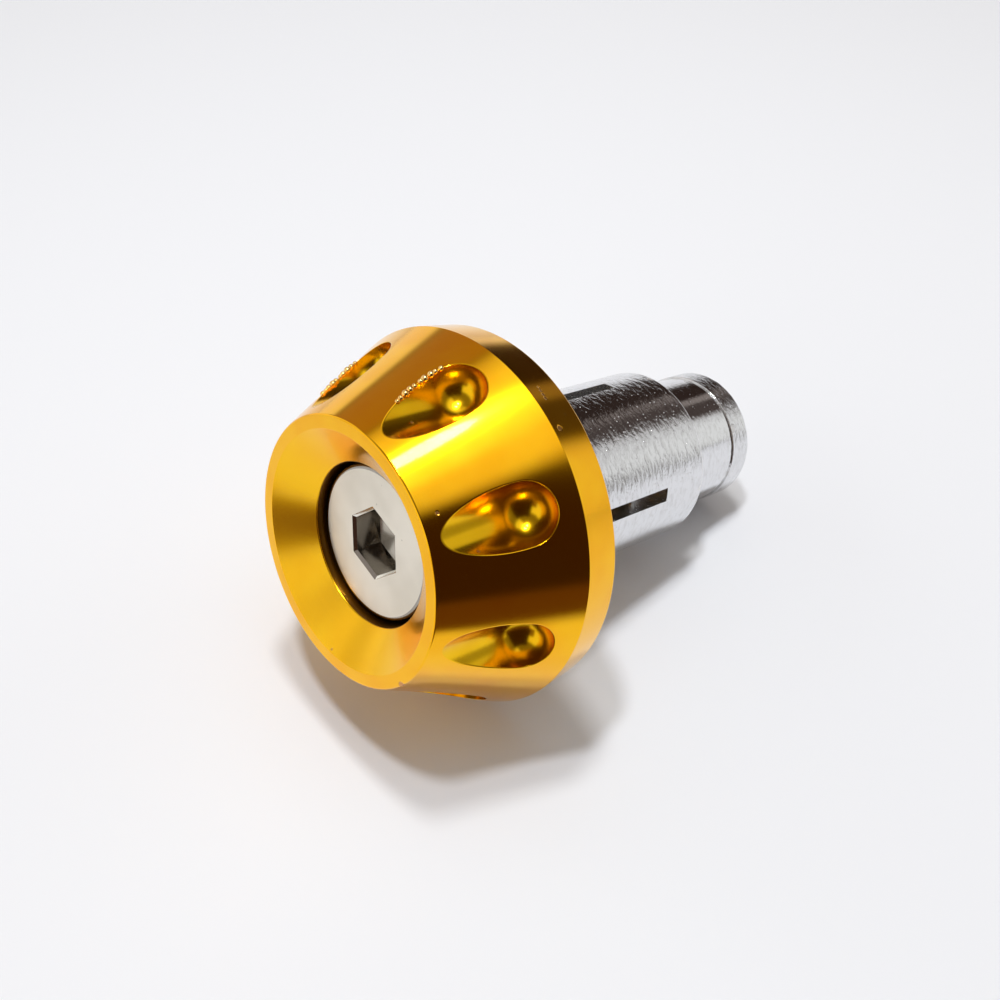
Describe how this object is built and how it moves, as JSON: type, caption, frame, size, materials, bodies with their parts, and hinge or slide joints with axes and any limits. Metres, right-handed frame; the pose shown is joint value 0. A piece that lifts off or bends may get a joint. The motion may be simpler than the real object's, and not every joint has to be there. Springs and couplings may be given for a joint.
{
  "type": "handlebar end plug",
  "caption": "Handlebar end plug: a dished conical cap with milled pockets, a socket screw, and a slotted sleeve with a threaded tail that grips inside the bar.",
  "frame": {"origin": "on the plug's axis, in the plane of the nose lip on which the plug stands", "axes": "+Z along the plug's axis from the nose to the tail; +X towards the land between two milled pockets"},
  "size_m": [0.032, 0.032, 0.0444],
  "materials": {
    "cap_gold": "polished gold anodising",
    "screw_steel": "satin nickel plate",
    "sleeve_chrome": "bright zinc plate, slightly wrinkled",
    "nut_chrome": "bright zinc plate, slightly wrinkled"
  },
  "bodies": {
    "cap": {"end_cap": "cap_gold"},
    "screw": {"cap_screw": "screw_steel"},
    "plug": {"expansion_sleeve": "sleeve_chrome", "tail_nut": "nut_chrome"}
  },
  "joints": [
    {"name": "screw_turn", "type": "hinge", "parent": "cap", "child": "screw", "pos_m": [0, 0, 0.00795], "axis": [0, 0, -1], "range_deg": [0, 1080]},
    {"name": "plug_travel", "type": "slide", "parent": "cap", "child": "plug", "axis": [0, 0, 1], "range_m": [0, 0.00375]}
  ],
  "couplings": [
    {"joint": "screw_turn", "follows": "plug_travel", "rad_per_m": 5026.5}
  ]
}
